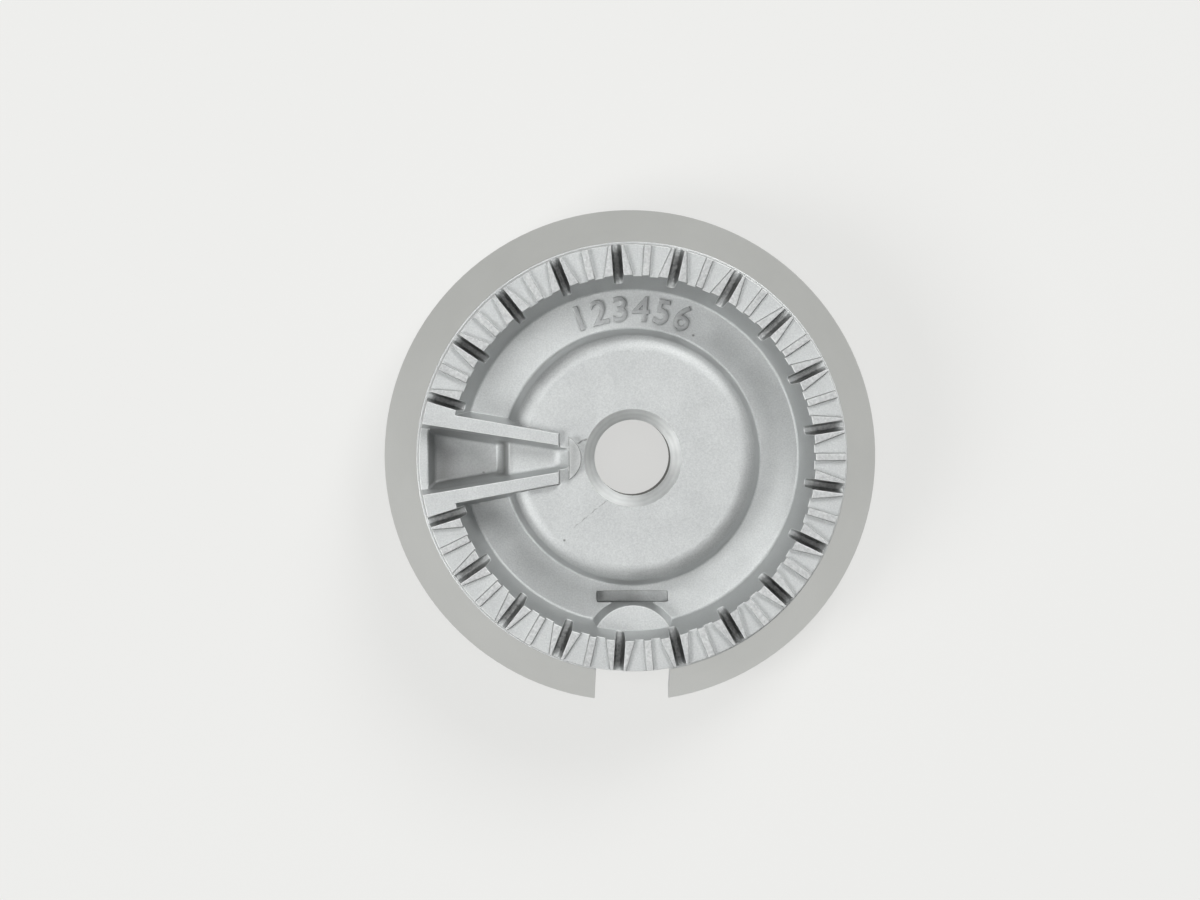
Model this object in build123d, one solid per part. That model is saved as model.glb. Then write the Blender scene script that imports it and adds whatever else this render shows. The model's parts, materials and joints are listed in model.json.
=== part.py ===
from build123d import *
import os
from math import radians, tan

# Burner head of a gas hob: one die casting. Sizes in millimetres.
# Z is the axis of the gas throat, the foot of the tube stands on Z = 0,
# the stability chamber points along -X and the electrode notch along -Y.

# Skirt, a cone that seats on the hob with its rim
rim_radius = 42.85
rim_land = 0.8
skirt_height = 10.8
skirt_wall = 2.6

# Port ring, with the seat of the cap on its top
ring_radius = 36.7
ring_width = 5.2
ring_height = 5.2
ring_outer_draft = 0.25
ring_inner_draft = 2.45
root_land = 0.3

# Gas trough and the plateau inside it
trough_depth = 8.6
trough_chamfer = 0.25
floor_wall = 3.0
plateau_drop = 1.5
plateau_radius = 20.95
plateau_draft = 1.25
plateau_round = 3.0
plateau_wall = 2.6

# Throat and the tube under it
throat_radius = 6.55
throat_length = 8.0
countersink_width = 1.9
countersink_depth = 1.9
entry_flare = 1.2
tube_radius = 10.0
tube_drop = 12.0
tube_draft = 0.8

# Main ports, one of the even pitches is left to the chamber
port_pitches = 21
port_width = 1.75
port_hip_width = 1.4
port_hip = 0.5
port_floor_width = 0.8
port_sill = 0.15
port_wall = 2.9

# Carry-over recesses, a pair between two ports
recess_depth = 0.8
recess_inner_width = 1.65
recess_outer_width = 3.65
strip_width = 1.2

# Stability chamber between two ribs
mouth_width = 12.4
neck_width = 4.6
rib_end = 12.8
rib_end_width = 2.0
rib_root_width = 2.5
rib_draft_deg = 6.0
cavity_draft_deg = 14.0
chamber_wall = 2.6
sill_drop = 3.0
sill_width = 1.55
deep_drop = 6.5
shallow_drop = 3.5
deep_ramp = 3.0
deep_ramp_rise = 0.4
cavity_slope = 1.1
step_radius = 23.3
step_run = 2.0
cavity_fillet = 0.5
ramp_fillet = 2.0

# Baffle between the chamber and the throat, a D in plan
baffle_gap = 0.5
baffle_length = 7.1
baffle_width = 2.0

# Electrode notch, its pocket under the ring, and the half-moon roof of the pocket
notch_width = 12.85
pocket_inset = 3.9
roof_wall = 2.2
roof_drop = 0.2
boss_wall = 0.75
boss_draft_deg = 18.0

# Narrow blind slot in the trough beside the half-moon
slot_length = 12.4
slot_width = 2.0
slot_gap = 1.0
slot_depth = 1.5
slot_corner = 0.4

# How far a cutter runs past the metal that it cuts
overrun = 1.0

# Heights
seat_z = tube_drop
root_z = seat_z + skirt_height
top_z = root_z + ring_height
floor_z = top_z - trough_depth
plateau_z = top_z - plateau_drop
port_z = root_z + port_sill
roof_z = port_z - roof_drop
sill_z = top_z - sill_drop
deep_z = top_z - deep_drop
shallow_z = top_z - shallow_drop

# Radii
root_radius = ring_radius + ring_outer_draft
skirt_top_radius = root_radius + root_land
ring_inner_radius = ring_radius - ring_width
trough_radius = ring_inner_radius - ring_inner_draft
plateau_foot = plateau_radius + plateau_draft
countersink_radius = throat_radius + countersink_width
entry_radius = throat_radius + entry_flare
baffle_radius = countersink_radius + baffle_gap + baffle_width
pitch_deg = 360 / port_pitches


def skirt_inside(height):
    slope = (rim_radius - skirt_top_radius) / (skirt_height - rim_land)
    offset = skirt_wall * (1 + slope**2) ** 0.5
    return rim_radius + (rim_land - height) * slope - offset


def casting_section():
    throat_top = plateau_z - countersink_depth
    ring_hollow_z = port_z - port_wall
    floor_under = floor_z - floor_wall
    plateau_under = plateau_z - plateau_wall
    foot_z = floor_z + trough_chamfer
    plateau_lean = trough_chamfer * plateau_draft / (plateau_z - floor_z)
    ring_lean = trough_chamfer * ring_inner_draft / trough_depth
    outline = [
        (entry_radius, 0, 0),
        (throat_radius, throat_top - throat_length, 0),
        (throat_radius, throat_top, 0),
        (countersink_radius, plateau_z, 0),
        (plateau_radius, plateau_z, plateau_round),
        (plateau_foot - plateau_lean, foot_z, 0),
        (plateau_foot + trough_chamfer, floor_z, 0),
        (trough_radius - trough_chamfer, floor_z, 0),
        (trough_radius + ring_lean, foot_z, 0),
        (ring_inner_radius, top_z, 0),
        (ring_radius, top_z, 0),
        (root_radius, root_z, 0),
        (skirt_top_radius, root_z, 0),
        (rim_radius, seat_z + rim_land, 0),
        (rim_radius, seat_z, 0),
        (skirt_inside(0), seat_z, 0),
        (skirt_inside(ring_hollow_z - seat_z), ring_hollow_z, 0),
        (trough_radius + floor_wall, ring_hollow_z, 0),
        (trough_radius + floor_wall / 2, floor_under, 0),
        (plateau_foot - plateau_wall, floor_under, 0),
        (plateau_radius - plateau_wall - plateau_draft, plateau_under, 0),
        (tube_radius + tube_draft, plateau_under, 0),
        (tube_radius, seat_z, 0),
        (tube_radius, 0, 0),
    ]
    corners = [(radius, height) for radius, height, _ in outline]
    rounds = [fillet_radius for _, _, fillet_radius in outline]
    return make_face(FilletPolyline(*corners, radius=rounds, close=True))


def channel_half(distance):
    share = (distance - rib_end) / (ring_radius - rib_end)
    return (neck_width + share * (mouth_width - neck_width)) / 2


def rib_width(distance):
    share = (distance - rib_end) / (ring_radius - rib_end)
    return rib_end_width + share * (rib_root_width - rib_end_width)


def wedge(inner, outer, half):
    corners = [(-inner, half(inner)), (-outer, half(outer)), (-outer, -half(outer)), (-inner, -half(inner))]
    return Pos(0, 0, top_z) * make_face(Polyline(*corners, close=True))


def chamber_block():
    outer = ring_radius - ring_width / 2

    def half(distance):
        return channel_half(distance) + rib_width(distance)

    neck = extrude(wedge(rib_end, outer, half), -(shallow_drop + chamber_wall), taper=-rib_draft_deg)
    bay = extrude(wedge(plateau_radius, outer, half), -(deep_drop + chamber_wall), taper=-rib_draft_deg)
    return neck + bay


def chamber_cavity():
    outer = root_radius + deep_drop
    ramp_top = ring_radius - sill_width
    ramp_foot = ramp_top - cavity_slope
    side = [
        (-outer, sill_z, 0),
        (-ramp_top, sill_z, cavity_fillet),
        (-ramp_foot, deep_z + deep_ramp_rise, 0),
        (-ramp_foot + deep_ramp, deep_z, 0),
        (-step_radius, deep_z, cavity_fillet),
        (-step_radius + step_run, shallow_z, cavity_fillet),
        (-rib_end, shallow_z, ramp_fillet),
        (-baffle_radius, plateau_z, 0),
        (-baffle_radius, top_z + overrun, 0),
        (-outer, top_z + overrun, 0),
    ]
    corners = [(along, height) for along, height, _ in side]
    rounds = [fillet_radius for _, _, fillet_radius in side]
    side_face = Plane.XZ * make_face(FilletPolyline(*corners, radius=rounds, close=True))
    plan = extrude(wedge(baffle_radius - overrun, outer, channel_half), -deep_drop, taper=cavity_draft_deg)
    return plan & extrude(side_face, mouth_width, both=True)


def baffle():
    half = baffle_length / 2
    flat = Line((-baffle_radius, -half), (-baffle_radius, half))
    bow = ThreePointArc((-baffle_radius, half), (baffle_width - baffle_radius, 0), (-baffle_radius, -half))
    outline = Pos(0, 0, plateau_z - overrun) * make_face(flat + bow)
    return extrude(outline, plateau_drop + overrun)


def port_cutter():
    hip_z = port_z + port_hip
    lean = (port_width - port_hip_width) / (top_z - hip_z)
    steps = [
        (port_floor_width, port_z),
        (port_hip_width, hip_z),
        (port_width + lean * overrun, top_z + overrun),
    ]
    right = [(width / 2, height) for width, height in steps]
    left = [(-across, height) for across, height in reversed(right)]
    profile = Plane.YZ * make_face(Polyline(*right, *left, close=True))
    start = trough_radius - overrun
    return extrude(Pos(start, 0, 0) * profile, skirt_top_radius + overrun - start)


def recess_cutter(side):
    flare = (recess_outer_width - recess_inner_width) / ring_width
    start = ring_inner_radius - ring_inner_draft
    end = skirt_top_radius + overrun

    def edge(radius):
        return strip_width / 2 + recess_inner_width + (radius - ring_inner_radius) * flare

    corners = [(start, strip_width / 2), (end, strip_width / 2), (end, edge(end)), (start, edge(start))]
    outline = make_face(Polyline(*[(x, side * y) for x, y in corners], close=True))
    return extrude(Pos(0, 0, top_z - recess_depth) * outline, recess_depth + overrun)


def half_moon():
    height = roof_z - floor_z + floor_wall / 2
    top_radius = notch_width / 2 + boss_wall
    foot_radius = top_radius + height * tan(radians(boss_draft_deg))
    middle = roof_z - height / 2
    boss = Pos(0, pocket_inset - ring_radius, middle) * Cone(foot_radius, top_radius, height)
    inside_ring = Pos(0, 0, middle) * Cylinder(ring_radius - ring_width / 2, height + overrun)
    return boss & inside_ring


def electrode_notch():
    centre_y = pocket_inset - ring_radius
    reach = rim_radius + overrun + centre_y
    plan = Pos(0, centre_y) * Circle(notch_width / 2)
    plan += Pos(0, centre_y - reach / 2) * Rectangle(notch_width, reach)
    start_z = seat_z - overrun
    pocket = extrude(Pos(0, 0, start_z) * plan, roof_z - roof_wall - start_z)
    through = extrude(Pos(0, 0, start_z) * plan, root_z + port_sill / 2 - start_z)
    return pocket + (through - Cylinder(root_radius, 2 * (top_z + overrun)))


def trough_slot():
    outline = RectangleRounded(slot_length, slot_width, slot_corner)
    centre_y = -(plateau_foot + slot_gap + slot_width / 2)
    return extrude(Pos(0, centre_y, floor_z - slot_depth) * outline, slot_depth + ring_height)


def burner_head():
    head = revolve(Plane.XZ * casting_section(), Axis.Z)
    head += [chamber_block(), baffle(), half_moon()]
    head -= [chamber_cavity(), electrode_notch(), trough_slot()]
    last = (port_pitches - 1) // 2
    ports = [Rot(0, 0, (index + 0.5) * pitch_deg) * port_cutter() for index in range(-last, last)]
    recesses = []
    for index in range(1 - last, last):
        for side in (-1, 1):
            recesses.append(Rot(0, 0, index * pitch_deg) * recess_cutter(side))
    return head - ports - recesses


os.makedirs("parts", exist_ok=True)
export_step(burner_head(), "parts/burner_head.step")
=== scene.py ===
import json
import math

import bmesh
import bpy
from mathutils import Matrix, Vector


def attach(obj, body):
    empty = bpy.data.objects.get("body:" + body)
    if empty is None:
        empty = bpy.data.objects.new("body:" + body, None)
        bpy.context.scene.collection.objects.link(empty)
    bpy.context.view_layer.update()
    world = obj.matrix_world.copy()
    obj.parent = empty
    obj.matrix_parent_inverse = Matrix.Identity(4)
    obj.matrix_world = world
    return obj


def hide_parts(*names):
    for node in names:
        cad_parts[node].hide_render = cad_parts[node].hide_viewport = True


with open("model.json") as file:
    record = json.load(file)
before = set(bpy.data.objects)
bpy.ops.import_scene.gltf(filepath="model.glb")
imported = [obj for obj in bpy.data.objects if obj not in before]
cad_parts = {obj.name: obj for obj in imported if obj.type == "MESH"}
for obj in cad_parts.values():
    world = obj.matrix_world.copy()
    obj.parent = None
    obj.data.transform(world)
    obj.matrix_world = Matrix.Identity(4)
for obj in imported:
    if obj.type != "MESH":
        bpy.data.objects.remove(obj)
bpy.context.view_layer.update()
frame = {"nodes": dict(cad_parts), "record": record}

scene = bpy.context.scene
scene.view_settings.view_transform = "Standard"
mm = 0.001

mounts = {mount["name"]: mount for mount in frame["record"]["mounts"]}
capSeatZ = mounts["cap_seat"]["pos_m"][2]
throatRadius = mounts["throat"]["dims"]["r_mm"] * mm


def newPiece(name, bm):
    mesh = bpy.data.meshes.new(name)
    bm.to_mesh(mesh)
    bm.free()
    piece = bpy.data.objects.new(name, mesh)
    scene.collection.objects.link(piece)
    return piece


def newGroup(name, inputs, outputs):
    group = bpy.data.node_groups.new(name, "ShaderNodeTree")
    for label, kind in inputs:
        group.interface.new_socket(label, in_out="INPUT", socket_type=kind)
    for label, kind in outputs:
        group.interface.new_socket(label, in_out="OUTPUT", socket_type=kind)
    return group, group.nodes.new("NodeGroupInput"), group.nodes.new("NodeGroupOutput")


def mathNode(tree, operation, first, second, clamp=False):
    node = tree.nodes.new("ShaderNodeMath")
    node.operation = operation
    node.use_clamp = clamp
    for socket, value in zip(node.inputs, (first, second)):
        if isinstance(value, (int, float)):
            socket.default_value = value
        else:
            tree.links.new(value, socket)
    return node.outputs[0]


def noiseNode(tree, vector, scale, detail, rough):
    node = tree.nodes.new("ShaderNodeTexNoise")
    node.inputs["Detail"].default_value = detail
    node.inputs["Roughness"].default_value = rough
    tree.links.new(vector, node.inputs["Vector"])
    tree.links.new(scale, node.inputs["Scale"])
    return node.outputs["Fac"]


def remapNode(tree, value, low, high, toLow=0.0, toHigh=1.0):
    node = tree.nodes.new("ShaderNodeMapRange")
    tree.links.new(value, node.inputs["Value"])
    settings = {"From Min": low, "From Max": high, "To Min": toLow, "To Max": toHigh}
    for label, setting in settings.items():
        if isinstance(setting, (int, float)):
            node.inputs[label].default_value = setting
        else:
            tree.links.new(setting, node.inputs[label])
    return node.outputs["Result"]


grainSettings = {
    "toothDetail": 2.0,
    "toothRough": 0.6,
    "toothRange": (0.3, 0.7),
    "cloudDetail": 4.0,
    "cloudRough": 0.55,
    "cloudRange": (0.32, 0.68),
    "cloudHeight": 0.25,
}


# grain of a cast skin: fine tooth, slow clouds, and a height for the bump
def buildCastGrain(settings):
    group, entry, leave = newGroup(
        "castGrain",
        [
            ("Vector", "NodeSocketVector"),
            ("Tooth Scale", "NodeSocketFloat"),
            ("Cloud Scale", "NodeSocketFloat"),
        ],
        [
            ("Tooth", "NodeSocketFloat"),
            ("Cloud", "NodeSocketFloat"),
            ("Height", "NodeSocketFloat"),
        ],
    )
    vector = entry.outputs["Vector"]
    tooth = noiseNode(
        group, vector, entry.outputs["Tooth Scale"], settings["toothDetail"], settings["toothRough"]
    )
    cloud = noiseNode(
        group, vector, entry.outputs["Cloud Scale"], settings["cloudDetail"], settings["cloudRough"]
    )
    tooth = remapNode(group, tooth, *settings["toothRange"])
    cloud = remapNode(group, cloud, *settings["cloudRange"])
    height = mathNode(group, "ADD", tooth, mathNode(group, "MULTIPLY", cloud, settings["cloudHeight"]))
    for label, value in (("Tooth", tooth), ("Cloud", cloud), ("Height", height)):
        group.links.new(value, leave.inputs[label])
    return group


hairlineSettings = {"waveScale": 700.0, "waveDetail": 3.0}


# crooked line between two points: thin for a crack, wide for a stain or a painted shade
def buildHairline(settings):
    group, entry, leave = newGroup(
        "hairline",
        [
            ("Vector", "NodeSocketVector"),
            ("Start", "NodeSocketVector"),
            ("End", "NodeSocketVector"),
            ("Width", "NodeSocketFloat"),
            ("Wander", "NodeSocketFloat"),
        ],
        [("Mask", "NodeSocketFloat")],
    )

    def vectorMath(operation, *values):
        node = group.nodes.new("ShaderNodeVectorMath")
        node.operation = operation
        for socket, value in zip(node.inputs, values):
            group.links.new(value, socket)
        return node

    wave = group.nodes.new("ShaderNodeTexNoise")
    wave.inputs["Scale"].default_value = settings["waveScale"]
    wave.inputs["Detail"].default_value = settings["waveDetail"]
    group.links.new(entry.outputs["Vector"], wave.inputs["Vector"])
    centred = group.nodes.new("ShaderNodeVectorMath")
    centred.operation = "SUBTRACT"
    centred.inputs[1].default_value = (0.5, 0.5, 0.5)  # middle of the noise
    group.links.new(wave.outputs["Color"], centred.inputs[0])
    drift = vectorMath("SCALE", centred.outputs[0])
    group.links.new(entry.outputs["Wander"], drift.inputs["Scale"])
    point = vectorMath("ADD", entry.outputs["Vector"], drift.outputs[0]).outputs[0]
    along = vectorMath("SUBTRACT", entry.outputs["End"], entry.outputs["Start"]).outputs[0]
    toPoint = vectorMath("SUBTRACT", point, entry.outputs["Start"]).outputs[0]
    reach = vectorMath("DOT_PRODUCT", along, along).outputs["Value"]
    travel = vectorMath("DOT_PRODUCT", toPoint, along).outputs["Value"]
    share = mathNode(group, "DIVIDE", travel, reach, clamp=True)
    nearest = vectorMath("SCALE", along)
    group.links.new(share, nearest.inputs["Scale"])
    gap = vectorMath("DISTANCE", toPoint, nearest.outputs[0]).outputs["Value"]
    mask = remapNode(group, gap, 0.0, entry.outputs["Width"], 1.0, 0.0)
    group.links.new(mask, leave.inputs["Mask"])
    return group


castGrain = buildCastGrain(grainSettings)
hairline = buildHairline(hairlineSettings)


def newMaterial(name):
    material = bpy.data.materials.new(name)
    material.use_nodes = True
    tree = material.node_tree
    shader = tree.nodes["Principled BSDF"]
    coords = tree.nodes.new("ShaderNodeTexCoord").outputs["Object"]
    return material, tree, shader, coords


def mixColour(tree, factor, first, second):
    node = tree.nodes.new("ShaderNodeMix")
    node.data_type = "RGBA"
    tree.links.new(factor, node.inputs["Factor"])
    for label, value in (("A", first), ("B", second)):
        socket = next(s for s in node.inputs if s.name == label and s.type == "RGBA")
        if isinstance(value, tuple):
            socket.default_value = (*value, 1.0)
        else:
            tree.links.new(value, socket)
    return next(s for s in node.outputs if s.type == "RGBA")


def grainNode(tree, coords, settings):
    node = tree.nodes.new("ShaderNodeGroup")
    node.node_tree = castGrain
    tree.links.new(coords, node.inputs["Vector"])
    node.inputs["Tooth Scale"].default_value = settings["toothScale"]
    node.inputs["Cloud Scale"].default_value = settings["cloudScale"]
    return node


def blendTones(tree, first, second, share):
    part = mathNode(tree, "MULTIPLY", first, share)
    rest = mathNode(tree, "MULTIPLY", second, 1.0 - share)
    return mathNode(tree, "ADD", part, rest)


def bumpNode(tree, height, strength, distance, shader):
    bump = tree.nodes.new("ShaderNodeBump")
    bump.inputs["Strength"].default_value = strength
    bump.inputs["Distance"].default_value = distance
    tree.links.new(height, bump.inputs["Height"])
    tree.links.new(bump.outputs["Normal"], shader.inputs["Normal"])


castSkinSettings = {
    "dark": (0.53, 0.545, 0.545),
    "light": (0.70, 0.715, 0.71),
    # painted shade: darker colour of the steep faces
    "drawnSteepShade": (0.53, 0.54, 0.54),
    # painted highlight on outer rounds
    "edgeHighlight": (0.90, 0.91, 0.905),
    # painted shade in inner corners
    "creaseShade": (0.22, 0.225, 0.22),
    # colour of the flaws and of the painted shades listed with them
    "flawAndShade": (0.16, 0.16, 0.155),
    "toothScale": 3600.0,
    "cloudScale": 150.0,
    "bump": 0.5,
    "bumpDepth": 0.03 * mm,
    "toothShare": 0.6,
    "roughness": (0.64, 0.7),
    "drawnRange": (0.5, 0.85),
    "drawnRoughness": 0.46,
    "flawsAndShades": [  # lengths in mm
        {"start": (-10.2, -11.9, 26.5), "end": (-4.5, -7.2, 26.5),  # fine crack in the plateau
         "width": 0.14, "wander": 0.9, "share": 0.6},
        {"start": (-9.2, 2.6, 26.5), "end": (-8.0, 3.2, 26.5),  # nick beside the baffle
         "width": 0.22, "wander": 0.8, "share": 0.9},
        {"start": (-11.9, -14.1, 26.4), "end": (-11.85, -14.1, 26.4),  # speck on the plateau
         "width": 0.3, "wander": 0.1, "share": 1.0},
        {"start": (10.8, 21.0, 19.4), "end": (10.85, 21.0, 19.4),  # speck in the trough
         "width": 0.3, "wander": 0.1, "share": 1.0},
        {"start": (-10.2, -1.9, 28.0), "end": (-10.2, 1.9, 28.0),  # smear on the baffle
         "width": 1.9, "wander": 0.8, "share": 0.35},
        {"start": (-5.4, -24.2, 17.9), "end": (-0.4, -24.2, 17.9),  # painted shadow in the left half of the blind slot
         "width": 2.6, "wander": 0.9, "share": 0.42},
    ],
}
chamberSettings = {
    **castSkinSettings,
    "shade": {
        "dark": (0.40, 0.41, 0.41),
        "light": (0.48, 0.49, 0.49),
        "ramps": [(23.2, 30.0)],  # from clear to full, in mm
    },
    "flawsAndShades": [  # lengths in mm
        {"start": (-25.7, -2.5, 21.5), "end": (-25.65, -2.5, 21.5),  # speck on the deep floor
         "width": 0.3, "wander": 0.1, "share": 1.0},
        {"start": (-33.0, -4.2, 21.5), "end": (-24.0, -2.8, 21.5),  # painted shade at the foot of one wall
         "width": 3.2, "wander": 0.1, "share": 0.42},
        {"start": (-32.6, -3.0, 21.7), "end": (-32.2, 0.0, 21.7),  # painted shade at the foot of the sill
         "width": 3.0, "wander": 0.2, "share": 0.42},
        {"start": (-31.0, -0.4, 21.5), "end": (-26.0, -0.3, 21.5),  # faint painted shade along the deep floor
         "width": 3.0, "wander": 0.2, "share": 0.15},
        {"start": (-22.1, -3.4, 23.4), "end": (-22.1, 3.4, 23.4),  # painted shade on the step
         "width": 2.0, "wander": 0.3, "share": 0.75},
    ],
}
seatSettings = {
    **castSkinSettings,
    "dark": (0.46, 0.47, 0.47),
    "light": (0.735, 0.745, 0.74),
    "toothScale": 2100.0,
    "bump": 0.8,
    "flawsAndShades": [],
}
portSettings = {
    **castSkinSettings,
    "shade": {
        "dark": (0.23, 0.235, 0.235),
        "light": (0.45, 0.455, 0.45),
        "ramps": [(29.8, 32.4), (36.6, 35.4)],  # from clear to full, in mm
    },
    "toothScale": 1700.0,
    "bump": 0.8,
    "bumpDepth": 0.06 * mm,
    "flawsAndShades": [],
}


# share of the shade at a distance from the axis: each ramp runs from clear to full
def shadeMask(tree, coords, ramps):
    flat = tree.nodes.new("ShaderNodeVectorMath")
    flat.operation = "MULTIPLY"
    flat.inputs[1].default_value = (1.0, 1.0, 0.0)
    tree.links.new(coords, flat.inputs[0])
    reach = tree.nodes.new("ShaderNodeVectorMath")
    reach.operation = "LENGTH"
    tree.links.new(flat.outputs["Vector"], reach.inputs[0])
    mask = 1.0
    for clear, full in ramps:
        ramp = remapNode(tree, reach.outputs["Value"], clear * mm, full * mm)
        mask = mathNode(tree, "MULTIPLY", ramp, mask)
    return mask


def faceMask(tree, name):
    node = tree.nodes.new("ShaderNodeAttribute")
    node.attribute_name = name
    return node.outputs["Fac"]


# the steep faces were drawn along the die, so they are smoother; their darker colour is painted shade,
# outer rounds get a painted highlight and inner corners a painted shade
def buildCastSkin(name, settings):
    material, tree, shader, coords = newMaterial(name)
    grain = grainNode(tree, coords, settings)
    drawnSteepShade = remapNode(tree, faceMask(tree, "steep"), *settings["drawnRange"])
    tone = blendTones(tree, grain.outputs["Tooth"], grain.outputs["Cloud"], settings["toothShare"])
    colour = mixColour(tree, tone, settings["dark"], settings["light"])
    # painted shade: steep faces take a darker colour
    colour = mixColour(tree, drawnSteepShade, colour, settings["drawnSteepShade"])
    if "shade" in settings:
        shade = settings["shade"]
        shaded = mixColour(tree, grain.outputs["Tooth"], shade["dark"], shade["light"])
        colour = mixColour(tree, shadeMask(tree, coords, shade["ramps"]), colour, shaded)
    # painted highlight on outer rounds
    colour = mixColour(tree, faceMask(tree, "edgeHighlight"), colour, settings["edgeHighlight"])
    # painted shade in inner corners
    colour = mixColour(tree, faceMask(tree, "creaseShade"), colour, settings["creaseShade"])
    # flaws and painted shades, each a crooked line in one dark colour
    for flawAndShade in settings["flawsAndShades"]:
        node = tree.nodes.new("ShaderNodeGroup")
        node.node_tree = hairline
        tree.links.new(coords, node.inputs["Vector"])
        node.inputs["Start"].default_value = Vector(flawAndShade["start"]) * mm
        node.inputs["End"].default_value = Vector(flawAndShade["end"]) * mm
        node.inputs["Width"].default_value = flawAndShade["width"] * mm
        node.inputs["Wander"].default_value = flawAndShade["wander"] * mm
        share = mathNode(tree, "MULTIPLY", node.outputs["Mask"], flawAndShade["share"])
        colour = mixColour(tree, share, colour, settings["flawAndShade"])
    tree.links.new(colour, shader.inputs["Base Color"])
    rough = remapNode(tree, grain.outputs["Cloud"], 0.0, 1.0, *settings["roughness"])
    rough = remapNode(tree, drawnSteepShade, 0.0, 1.0, rough, settings["drawnRoughness"])
    tree.links.new(rough, shader.inputs["Roughness"])
    shader.inputs["Metallic"].default_value = 1.0
    bumpNode(tree, grain.outputs["Height"], settings["bump"], settings["bumpDepth"], shader)
    return material


skirtSettings = {
    "dark": (0.513, 0.519, 0.506),
    "light": (0.633, 0.639, 0.626),
    # painted light and shade: the colour darkens towards the first Y and lightens towards the second
    "dullY": 40.0 * mm,
    "litY": -40.0 * mm,
    "drift": 0.75,
    "toothScale": 5200.0,
    "cloudScale": 60.0,
    "bump": 0.12,
    "bumpDepth": 0.015 * mm,
    "roughness": (0.4, 0.46),
}
boreSettings = {
    # painted shade: very dark colours for the inside of the bore
    "dark": (0.2, 0.2, 0.19),
    "light": (0.3, 0.3, 0.285),
    "toothScale": 2400.0,
    "cloudScale": 200.0,
    "bump": 0.3,
    "bumpDepth": 0.03 * mm,
    "roughness": (0.6, 0.7),
}


# painted light and shade: a drift makes the colour darker towards one side
def buildPlainFinish(name, settings):
    material, tree, shader, coords = newMaterial(name)
    grain = grainNode(tree, coords, settings)
    tone = grain.outputs["Cloud"]
    if "drift" in settings:
        split = tree.nodes.new("ShaderNodeSeparateXYZ")
        tree.links.new(coords, split.inputs[0])
        # painted light and shade across the skirt
        drift = remapNode(tree, split.outputs["Y"], settings["dullY"], settings["litY"])
        tone = blendTones(tree, drift, tone, settings["drift"])
    colour = mixColour(tree, tone, settings["dark"], settings["light"])
    tree.links.new(colour, shader.inputs["Base Color"])
    rough = remapNode(tree, grain.outputs["Tooth"], 0.0, 1.0, *settings["roughness"])
    tree.links.new(rough, shader.inputs["Roughness"])
    shader.inputs["Metallic"].default_value = 1.0
    bumpNode(tree, grain.outputs["Height"], settings["bump"], settings["bumpDepth"], shader)
    return material


turnedSettings = {
    "dark": (0.82, 0.838, 0.83),
    "light": (0.945, 0.962, 0.955),
    "ringScale": 420.0,
    "ringDistortion": 1.5,
    "ringDetail": 2.0,
    "ringShare": 0.5,
    "toothScale": 2600.0,
    "cloudScale": 600.0,
    "bump": 0.2,
    "bumpDepth": 0.02 * mm,
    "roughness": (0.5, 0.56),
}


# turned metal: fine rings about the axis of the throat
def buildTurnedFace(settings):
    material, tree, shader, coords = newMaterial("turnedFace")
    grain = grainNode(tree, coords, settings)
    rings = tree.nodes.new("ShaderNodeTexWave")
    rings.wave_type = "RINGS"
    rings.rings_direction = "Z"
    rings.inputs["Scale"].default_value = settings["ringScale"]
    rings.inputs["Distortion"].default_value = settings["ringDistortion"]
    rings.inputs["Detail"].default_value = settings["ringDetail"]
    tree.links.new(coords, rings.inputs["Vector"])
    tone = blendTones(tree, rings.outputs["Fac"], grain.outputs["Cloud"], settings["ringShare"])
    colour = mixColour(tree, tone, settings["dark"], settings["light"])
    tree.links.new(colour, shader.inputs["Base Color"])
    rough = remapNode(tree, grain.outputs["Cloud"], 0.0, 1.0, *settings["roughness"])
    tree.links.new(rough, shader.inputs["Roughness"])
    shader.inputs["Metallic"].default_value = 1.0
    bumpNode(tree, rings.outputs["Fac"], settings["bump"], settings["bumpDepth"], shader)
    return material


castSkin = buildCastSkin("castSkin", castSkinSettings)
chamberSkin = buildCastSkin("chamberSkin", chamberSettings)
portSkin = buildCastSkin("portSkin", portSettings)
seatSkin = buildCastSkin("seatSkin", seatSettings)
skirtFinish = buildPlainFinish("skirtFinish", skirtSettings)
boreSkin = buildPlainFinish("boreSkin", boreSettings)
turnedFace = buildTurnedFace(turnedSettings)
skins = (castSkin, skirtFinish, turnedFace, boreSkin, portSkin, chamberSkin, seatSkin)
print("materials made:", ", ".join(material.name for material in skins))

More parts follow.
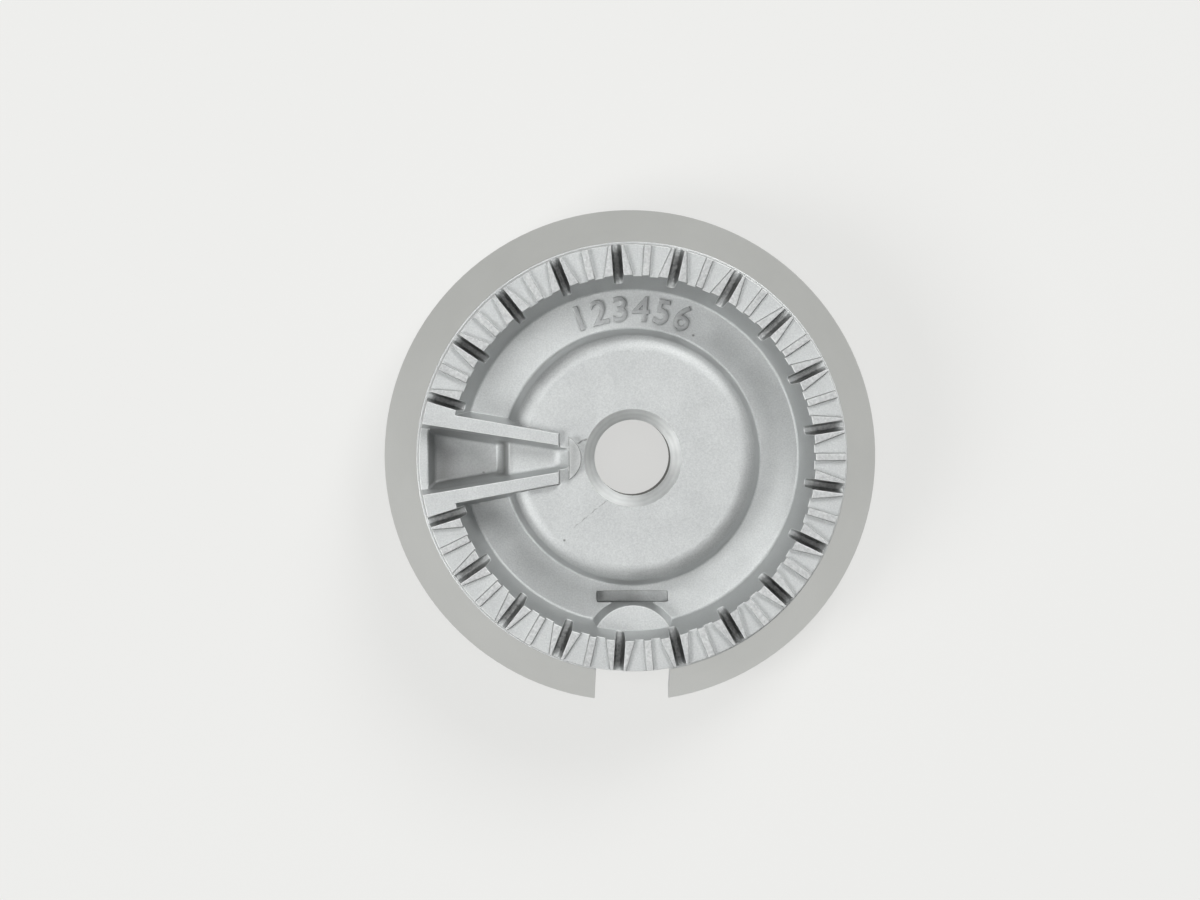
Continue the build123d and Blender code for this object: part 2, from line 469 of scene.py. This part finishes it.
castingSettings = {
    "node": "burner_head",
    "edgeRound": 0.12 * mm,
    "edgeSegments": 2,
    "chamberRound": 0.5 * mm,
    "chamberSegments": 4,
    "edgeAngle": 28.0,
    # share of the painted highlight on outer rounds
    "edgeHighlightShare": 0.6,
    # share of the painted shade in inner corners
    "creaseShadeShare": 0.7,
    "stepFacing": 0.25,
    # heights between which inner corners get no painted shade
    "cleanZ": (19.0 * mm, 26.0 * mm),
    # line along which the painted highlight and painted shade are faintest
    "faintSideDeg": 125.0,
    "faintSpreadDeg": 60.0,
    "portPitches": 21,
    "portHalf": 1.05 * mm,
    "flatAngle": 0.3,
    "tinyEdge": 0.002 * mm,
    "skirtRadius": 37.25 * mm,
    "countersinkWidth": 1.9 * mm,
    "entryRadius": 7.75 * mm,
    "seatRadius": 31.5 * mm,
    "mouthHalf": 10.0 * mm,
    "portStart": 29.6 * mm,
    "recessDepth": 0.8 * mm,
    "portDepth": 5.05 * mm,
    "chamberReach": (10.9 * mm, 35.3 * mm),
    "neckHalf": 2.3 * mm,
    "neckReach": 12.8 * mm,
    "chamberFlare": 0.1632,
    "slack": 0.03 * mm,
    "mergeDistance": 0.001 * mm,
    "boreFacing": -0.9,
    "countersinkRise": 0.3,
    "skirtRise": 0.05,
    "wallAcross": 0.6,
    "floorRise": 0.5,
    "normalWeight": 100,
}


# whether a spot lies at one of the ports, which start half a pitch from +X
def nearPort(spot, settings):
    pitch = math.tau / settings["portPitches"]
    turn = math.atan2(spot.y, spot.x) / pitch - 0.5
    return abs(turn - round(turn)) * pitch * spot.xy.length < settings["portHalf"]


# half width of the chamber, which flares away from its neck
def chamberHalf(x, settings):
    return settings["neckHalf"] - (x + settings["neckReach"]) * settings["chamberFlare"]


# which skin a face of the casting wears, told by its place and its slope
def skinOf(face, settings):
    slack = settings["slack"]
    spots = [vert.co for vert in face.verts]
    reach = [spot.xy.length for spot in spots]
    lowest = min(spot.z for spot in spots)
    middle = face.calc_center_median()
    outward = middle.xy.normalized()
    facing = face.normal.xy.dot(outward)
    across = abs(face.normal.xy.cross(outward))
    if max(reach) < settings["entryRadius"] + slack and facing < settings["boreFacing"]:
        return boreSkin
    countersinkRadius = throatRadius + settings["countersinkWidth"]
    if max(reach) < countersinkRadius + slack and face.normal.z > settings["countersinkRise"]:
        return turnedFace
    if min(reach) > settings["skirtRadius"] - slack and face.normal.z > settings["skirtRise"]:
        return skirtFinish
    beside = middle.x < 0 and abs(middle.y) < settings["mouthHalf"]
    if min(reach) > settings["seatRadius"] - slack and lowest > capSeatZ - slack and not beside:
        return seatSkin
    inRing = settings["portStart"] < min(reach) and max(reach) < settings["skirtRadius"] + slack
    onWall = across > settings["wallAcross"] and lowest < capSeatZ - settings["recessDepth"] - slack
    portFloorZ = capSeatZ - settings["portDepth"]
    onFloor = face.normal.z > settings["floorRise"] and abs(lowest - portFloorZ) < slack
    if inRing and (onWall or onFloor) and nearPort(middle, settings):
        return portSkin
    nearest, farthest = settings["chamberReach"]
    inside = all(
        -farthest < spot.x < -nearest and abs(spot.y) < chamberHalf(spot.x, settings) + slack
        for spot in spots
    )
    if inside and lowest < capSeatZ - settings["recessDepth"]:
        return chamberSkin
    return castSkin


def sharpEdges(bm, settings):
    return [e for e in bm.edges if e.calc_face_angle(0.0) > math.radians(settings["edgeAngle"])]


def skinsAt(edge):
    return {skins[face.material_index] for face in edge.link_faces}


def roundEdges(bm, edges, radius, segments):
    return bmesh.ops.bevel(
        bm, geom=edges, offset=radius, offset_type="OFFSET", segments=segments, profile=0.5, affect="EDGES",
        clamp_overlap=False, loop_slide=True, material=-1,
    )["faces"]


def buildCasting(settings):
    bm = bmesh.new()
    bm.from_mesh(frame["nodes"][settings["node"]].data)
    bmesh.ops.remove_doubles(bm, verts=bm.verts[:], dist=settings["mergeDistance"])
    for face in bm.faces:
        face.material_index = skins.index(skinOf(face, settings))
    bmesh.ops.dissolve_limit(
        bm, angle_limit=math.radians(settings["flatAngle"]), use_dissolve_boundaries=False,
        verts=bm.verts[:], edges=bm.edges[:], delimit={"MATERIAL"},
    )
    # face marks: steepness, painted highlight and painted shade
    steep, edgeHighlight, creaseShade = [bm.faces.layers.float.new(name) for name in ("steep", "edgeHighlight", "creaseShade")]
    inner = [e for e in sharpEdges(bm, settings) if skinsAt(e) == {chamberSkin} and not e.is_convex]
    roundEdges(bm, inner, settings["chamberRound"], settings["chamberSegments"])
    sharp = sharpEdges(bm, settings)
    turned = [edge for edge in sharp if turnedFace in skinsAt(edge)]
    for edge in turned:
        edge.smooth = False
    rounds = roundEdges(
        bm, [edge for edge in sharp if edge not in turned], settings["edgeRound"], settings["edgeSegments"]
    )
    for vert in bm.verts:
        vert.co.z = min(vert.co.z, capSeatZ)  # a rounded corner can rise a hair too far
    for face in bm.faces:
        face.smooth = True
        face[steep] = 1.0 - abs(face.normal.z)
    # outer rounds get a painted highlight and inner ones a painted shade, both least along one line through
    # the axis
    faintWay = Matrix.Rotation(math.radians(settings["faintSideDeg"]), 2) @ Vector((1.0, 0.0))
    unshadedLow, unshadedHigh = settings["cleanZ"]
    for face in rounds:
        spot = face.calc_center_median()
        aside = spot.xy.angle(faintWay)
        share = min(1.0, min(aside, math.pi - aside) / math.radians(settings["faintSpreadDeg"]))
        outer = sum(edge.calc_face_angle_signed(0.0) * edge.calc_length() for edge in face.edges) > 0
        onStep = spot.xy.length > settings["portStart"] and not nearPort(spot, settings)
        sideways = abs(face.normal.xy.cross(spot.xy.normalized())) > settings["stepFacing"]
        # painted highlight on outer rounds
        if outer and not (onStep and sideways):
            face[edgeHighlight] = settings["edgeHighlightShare"] * share
        # painted shade in inner corners, left out between two heights
        if not outer and face.normal.z > 0 and not unshadedLow < spot.z < unshadedHigh:
            face[creaseShade] = settings["creaseShadeShare"] * share
    bmesh.ops.dissolve_degenerate(bm, dist=settings["tinyEdge"], edges=bm.edges[:])
    piece = newPiece("castHead", bm)
    for material in skins:
        piece.data.materials.append(material)
    weighted = piece.modifiers.new("weightedNormal", "WEIGHTED_NORMAL")
    weighted.keep_sharp = True
    weighted.weight = settings["normalWeight"]
    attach(piece, "root")
    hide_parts(settings["node"])
    return piece


castHead = buildCasting(castingSettings)
print("casting dressed:", len(castHead.data.polygons), "faces")

# plain raised numerals on the trough floor, with their feet towards the axis
markSettings = {
    "signs": "123456",
    "troughDepth": 8.6 * mm,
    "radius": 25.4 * mm,
    "height": 4.2 * mm,
    "lift": 0.28 * mm,
    "slope": 0.14 * mm,
    "spanDeg": 41.0,
    "edgeAngle": 28.0,
    "digitShare": 0.7,  # of the text size
    "bevelSteps": 1,
    "curveSteps": 6,
    "mergeDistance": 0.002 * mm,
}
numeralSettings = {
    **castSkinSettings,
    "dark": (0.40, 0.41, 0.41),
    "light": (0.53, 0.54, 0.54),
    "flawsAndShades": [],
}


def buildMark(settings):
    bm = bmesh.new()
    floorZ = capSeatZ - settings["troughDepth"]
    steps = len(settings["signs"]) - 1
    for index, sign in enumerate(settings["signs"]):
        text = bpy.data.curves.new("sign" + sign, "FONT")
        text.body = sign
        text.align_x = "CENTER"
        text.align_y = "CENTER"
        text.size = settings["height"] / settings["digitShare"]
        text.extrude = settings["lift"]
        text.bevel_depth = settings["slope"]
        text.bevel_resolution = settings["bevelSteps"]
        text.resolution_u = settings["curveSteps"]
        holder = bpy.data.objects.new("signHolder", text)
        scene.collection.objects.link(holder)
        bpy.context.view_layer.update()
        finished = holder.evaluated_get(bpy.context.evaluated_depsgraph_get())
        mesh = bpy.data.meshes.new_from_object(finished)
        turn = math.radians(settings["spanDeg"]) * (0.5 - index / steps)
        place = Matrix.Translation((0, settings["radius"], floorZ))
        mesh.transform(Matrix.Rotation(turn, 4, "Z") @ place)
        bm.from_mesh(mesh)
        bpy.data.objects.remove(holder)
        bpy.data.curves.remove(text)
        bpy.data.meshes.remove(mesh)
    bmesh.ops.remove_doubles(bm, verts=bm.verts[:], dist=settings["mergeDistance"])
    bmesh.ops.recalc_face_normals(bm, faces=bm.faces[:])
    for face in bm.faces:
        face.smooth = True
    for edge in bm.edges:
        edge.smooth = edge.calc_face_angle(0.0) < math.radians(settings["edgeAngle"])
    piece = newPiece("raisedNumbers", bm)
    piece.data.materials.append(buildCastSkin("numeralSkin", numeralSettings))
    weighted = piece.modifiers.new("weightedNormal", "WEIGHTED_NORMAL")
    weighted.keep_sharp = True
    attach(piece, "root")
    return piece


raisedNumbers = buildMark(markSettings)
print("numbers raised:", len(raisedNumbers.data.polygons), "faces")

floorSettings = {
    "half": 6.0,
    "colour": (0.82, 0.82, 0.805),
    "roughness": 0.9,
    "glow": (0.825, 0.825, 0.81),
    "glowShare": 0.75,
}


# the glow evens out the floor for the camera and for mirrored rays, a soft shadow stays
def buildFloor(settings):
    bm = bmesh.new()
    bmesh.ops.create_grid(bm, x_segments=1, y_segments=1, size=settings["half"])
    piece = newPiece("studioFloor", bm)
    material = bpy.data.materials.new("paleFloor")
    material.use_nodes = True
    tree = material.node_tree
    shader = tree.nodes["Principled BSDF"]
    shader.inputs["Base Color"].default_value = (*settings["colour"], 1.0)
    shader.inputs["Roughness"].default_value = settings["roughness"]
    shader.inputs["Specular IOR Level"].default_value = 0.0
    glow = tree.nodes.new("ShaderNodeEmission")
    glow.inputs["Color"].default_value = (*settings["glow"], 1.0)
    paths = tree.nodes.new("ShaderNodeLightPath").outputs
    seen = mathNode(tree, "ADD", paths["Is Camera Ray"], paths["Is Glossy Ray"])
    seen = mathNode(tree, "ADD", seen, paths["Is Transmission Ray"], clamp=True)
    mix = tree.nodes.new("ShaderNodeMixShader")
    tree.links.new(mathNode(tree, "MULTIPLY", seen, settings["glowShare"]), mix.inputs[0])
    tree.links.new(shader.outputs["BSDF"], mix.inputs[1])
    tree.links.new(glow.outputs["Emission"], mix.inputs[2])
    tree.links.new(mix.outputs["Shader"], tree.nodes["Material Output"].inputs["Surface"])
    piece.data.materials.append(material)


buildFloor(floorSettings)

lightSettings = {
    "horizon": (0.56, 0.56, 0.555),
    "zenith": (0.17, 0.171, 0.173),
    "hazeTop": 0.45,
    "lamps": [
        {"name": "overhead", "place": (-0.07, 0.07, 2.2), "size": 0.6, "power": 5.4},
        {"name": "leftBox", "place": (-2.18, -0.84, 2.25), "size": 1.35, "power": 64.0},
        {"name": "backBox", "place": (1.13, 2.04, 2.25), "size": 1.35, "power": 67.0},
    ],
}


# two soft boxes and a faint overhead lamp, under a sky that pales towards the horizon
def buildLights(settings):
    world = bpy.data.worlds.new("paleStudio")
    world.use_nodes = True
    tree = world.node_tree
    split = tree.nodes.new("ShaderNodeSeparateXYZ")
    tree.links.new(tree.nodes.new("ShaderNodeTexCoord").outputs["Generated"], split.inputs[0])
    rise = remapNode(tree, split.outputs["Z"], 0.0, settings["hazeTop"])
    sky = mixColour(tree, rise, settings["horizon"], settings["zenith"])
    tree.links.new(sky, tree.nodes["Background"].inputs["Color"])
    scene.world = world
    for lamp in settings["lamps"]:
        data = bpy.data.lights.new(lamp["name"], "AREA")
        data.size = lamp["size"]
        data.energy = lamp["power"]
        holder = bpy.data.objects.new(lamp["name"], data)
        holder.location = lamp["place"]
        holder.rotation_mode = "QUATERNION"
        holder.rotation_quaternion = (-Vector(lamp["place"])).to_track_quat("-Z", "Y")
        holder.visible_camera = False
        scene.collection.objects.link(holder)


buildLights(lightSettings)

cameraSettings = {
    "place": (-32.6 * mm, 27.7 * mm, 1000.0 * mm),
    "aim": (-5.47 * mm, 1.23 * mm, 20.0 * mm),
    "sensor": 36.0,
    "lens": 169.85,
    "rollDeg": -0.31,
}


def buildCamera(settings):
    data = bpy.data.cameras.new("topCamera")
    data.sensor_width = settings["sensor"]
    data.lens = settings["lens"]
    holder = bpy.data.objects.new("topCamera", data)
    forward = (Vector(settings["aim"]) - Vector(settings["place"])).normalized()
    right = forward.cross(Vector((0, 1, 0))).normalized()
    turned = Matrix((right, right.cross(forward), -forward)).transposed().to_4x4()
    roll = Matrix.Rotation(math.radians(settings["rollDeg"]), 4, "Z")
    holder.matrix_world = Matrix.Translation(settings["place"]) @ turned @ roll
    scene.collection.objects.link(holder)
    scene.camera = holder


buildCamera(cameraSettings)
print("camera, lights and floor set")
